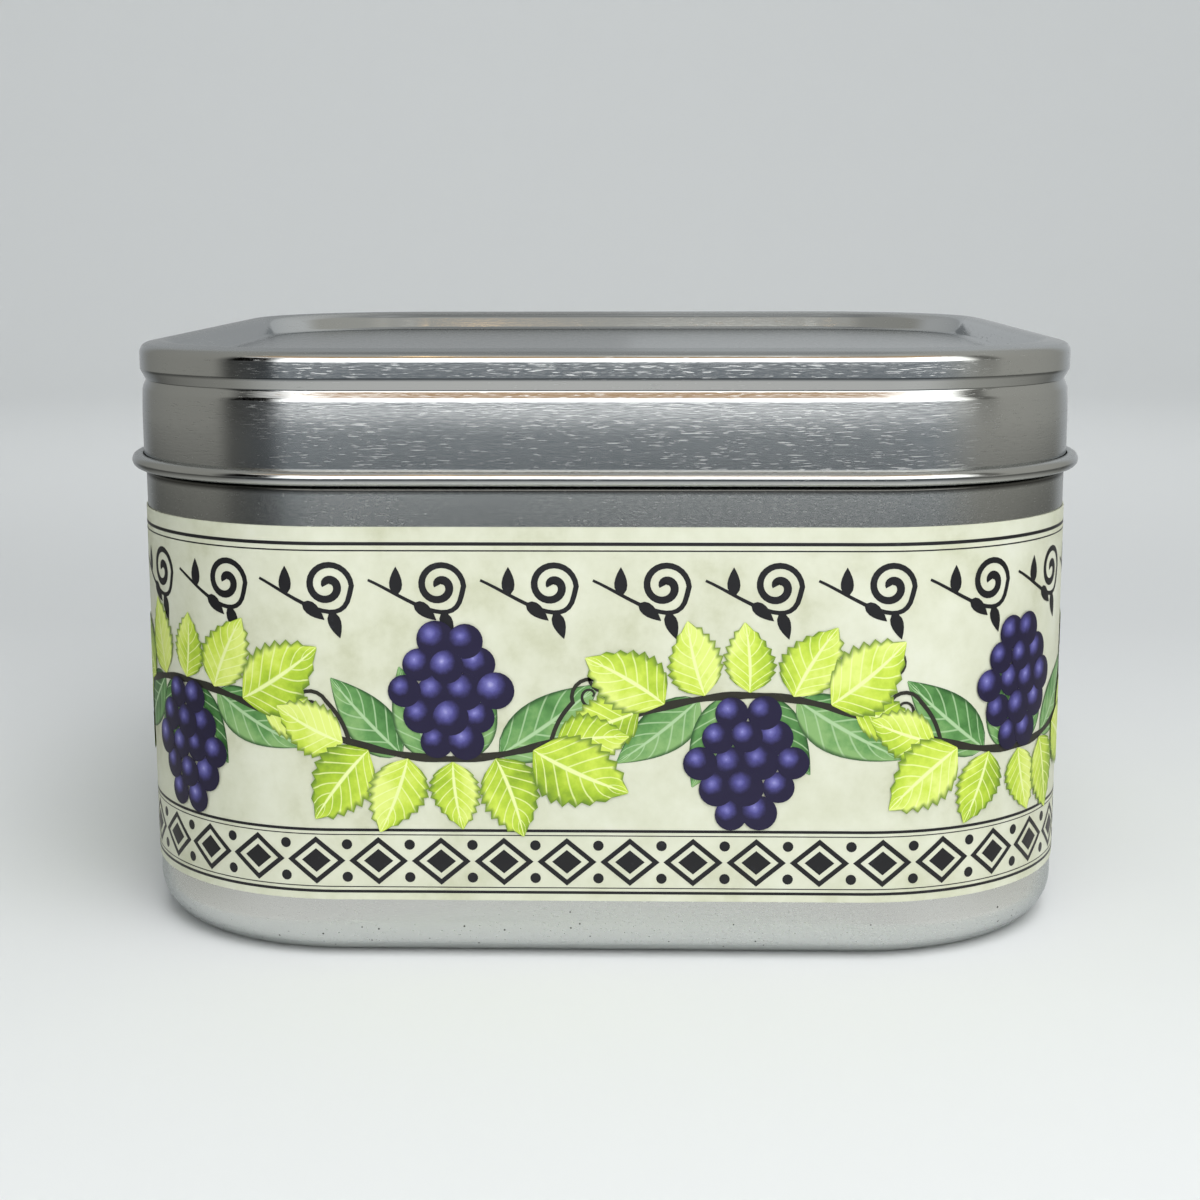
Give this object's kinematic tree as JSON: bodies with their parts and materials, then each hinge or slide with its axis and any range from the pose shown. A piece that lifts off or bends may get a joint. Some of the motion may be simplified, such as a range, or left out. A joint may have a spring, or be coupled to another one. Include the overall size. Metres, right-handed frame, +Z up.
{
  "type": "square slip-lid tin",
  "caption": "Square drawn tinplate tin with round corners, a lift-off slip lid with a recessed top and rolled edge, and a printed paper label wrapped round its wall.",
  "frame": {"origin": "centre of the footprint, on the surface that the tin stands on", "axes": "+Z up; the front that the picture shows faces -Y, and +X is to its right"},
  "size_m": [0.104, 0.104, 0.0635],
  "materials": {
    "tinplate_body": "satin, rolled tinplate",
    "tinplate_lid": "bright satin, rolled tinplate",
    "label_paper": "smooth printed cream paper"
  },
  "bodies": {
    "root": {"tin_body": "tinplate_body", "lid": "tinplate_lid", "label": "label_paper"}
  },
  "joints": []
}
